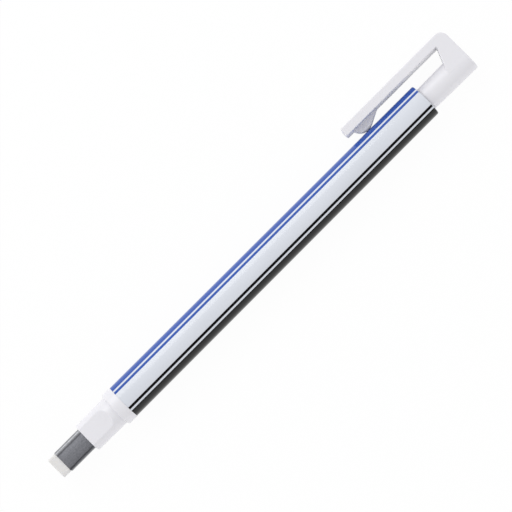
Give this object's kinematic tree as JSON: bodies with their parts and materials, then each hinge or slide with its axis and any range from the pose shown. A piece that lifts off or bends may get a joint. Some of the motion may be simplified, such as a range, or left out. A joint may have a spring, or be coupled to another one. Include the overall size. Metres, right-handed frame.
{
  "type": "pencil eraser stick",
  "caption": "Push-button holder with a pocket clip for a flat eraser stick, with a metal tip sleeve and a spring-loaded split-jaw chuck inside.",
  "frame": {"origin": "centre of the eraser's working end face", "axes": "+X along the stick towards the push knob's end; +Y towards the pocket clip; +Z square to the eraser's wide face"},
  "size_m": [0.1247, 0.0125, 0.0085],
  "materials": {
    "barrel_plastic": "polished, striped lengthwise",
    "white_plastic": "smooth moulded",
    "sleeve_steel": "finely brushed",
    "brake_rubber": "matt",
    "bush_plastic": "moulded",
    "eraser_vinyl": "soft vinyl",
    "clutch_brass": "turned",
    "jaw_plastic": "moulded",
    "holder_plastic": "moulded",
    "spring_steel": "drawn wire",
    "tube_plastic": "extruded"
  },
  "bodies": {
    "holder": {"barrel": "barrel_plastic", "front_nose": "white_plastic", "tip_sleeve": "sleeve_steel", "brake_ring": "brake_rubber", "spring_bush": "bush_plastic", "return_spring": "spring_steel"},
    "knob": {"push_knob": "white_plastic", "refill_tube": "tube_plastic", "chuck_holder": "holder_plastic"},
    "upper_jaw": {"chuck_jaw_upper": "jaw_plastic"},
    "lower_jaw": {"chuck_jaw_lower": "jaw_plastic"},
    "clutch": {"clutch_ring": "clutch_brass"},
    "eraser": {"eraser_stick": "eraser_vinyl"}
  },
  "joints": [
    {"name": "knob_press", "type": "slide", "parent": "holder", "child": "knob", "axis": [-1, 0, 0], "range_m": [0, 0.0035], "stiffness_N_per_m": 400, "springref_m": -0.005, "deforming": ["return_spring"]},
    {"name": "upper_jaw_open", "type": "hinge", "parent": "knob", "child": "upper_jaw", "pos_m": [0.04583, 0, 0.00168], "axis": [0, 1, 0], "range_deg": [0, 0.3]},
    {"name": "lower_jaw_open", "type": "hinge", "parent": "knob", "child": "lower_jaw", "pos_m": [0.04583, 0, -0.00168], "axis": [0, -1, 0], "range_deg": [0, 0.3]},
    {"name": "clutch_slide", "type": "slide", "parent": "holder", "child": "clutch", "axis": [-1, 0, 0], "range_m": [0, 0.0012]},
    {"name": "eraser_feed", "type": "slide", "parent": "holder", "child": "eraser", "axis": [-1, 0, 0], "range_m": [-0.0021, 0.006]}
  ],
  "couplings": [
    {"joint": "clutch_slide", "follows": "knob_press", "ratio": 0.34286},
    {"joint": "upper_jaw_open", "follows": "knob_press", "rad_per_m": 1.48},
    {"joint": "lower_jaw_open", "follows": "knob_press", "rad_per_m": 1.48}
  ]
}
